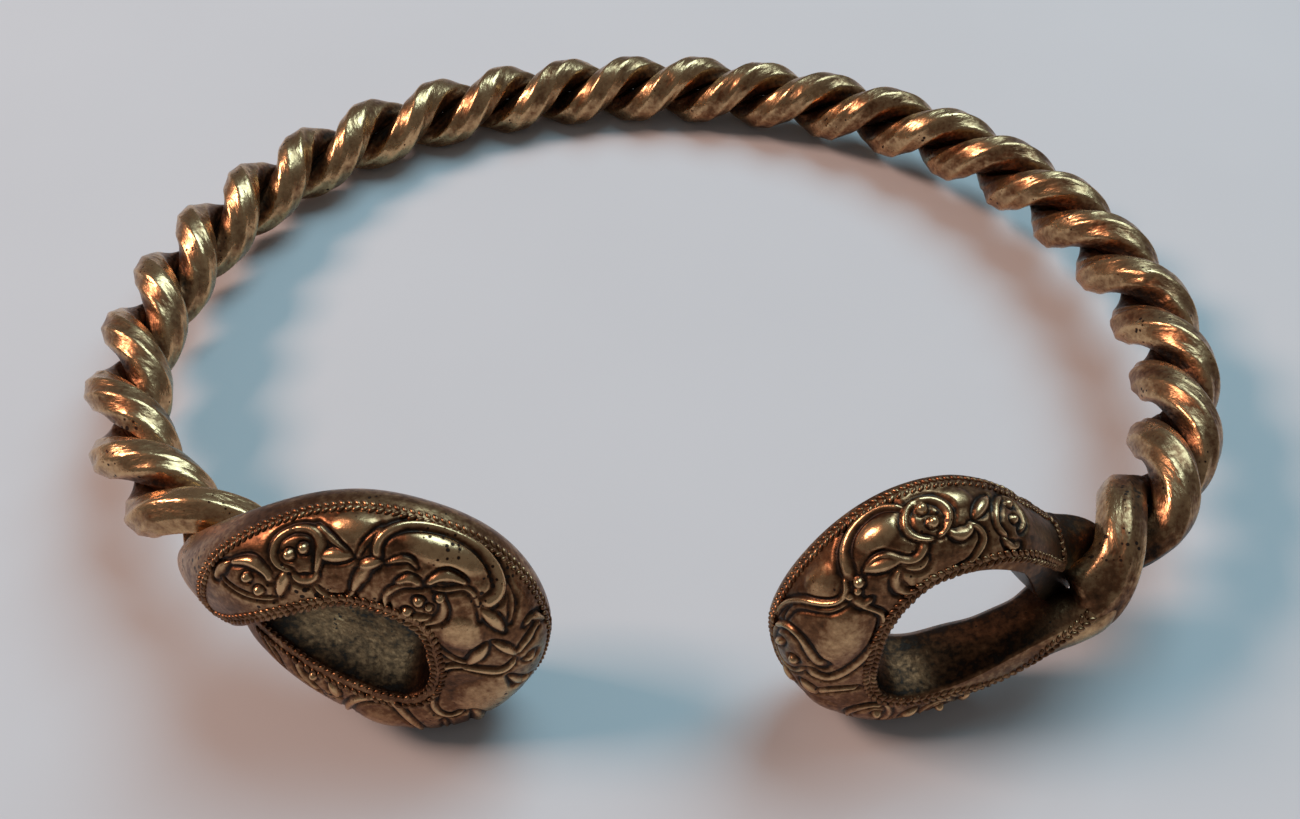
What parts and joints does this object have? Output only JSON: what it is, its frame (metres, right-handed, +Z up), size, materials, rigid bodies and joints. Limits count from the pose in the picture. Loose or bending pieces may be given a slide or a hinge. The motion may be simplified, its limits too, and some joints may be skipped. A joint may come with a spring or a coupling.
{
  "type": "gold torc",
  "caption": "Open neck ring of thick rods twisted together, with a cast loop terminal carrying scrollwork in relief on each end.",
  "frame": {"origin": "centre of the bounding box, on the ground the torc lies on", "axes": "+Z up as it lies loose, +X across the torc between its two sides, -Y out of its opening, past the terminals"},
  "size_m": [0.1851, 0.1543, 0.0412],
  "materials": {
    "hammered_gold": "hammered, with a dark patina",
    "cast_gold": "cast in relief, with a dark patina"
  },
  "bodies": {
    "root": {"twisted_rod_1": "hammered_gold", "twisted_rod_2": "hammered_gold", "loop_terminal_left": "cast_gold", "loop_terminal_right": "cast_gold"}
  },
  "joints": []
}
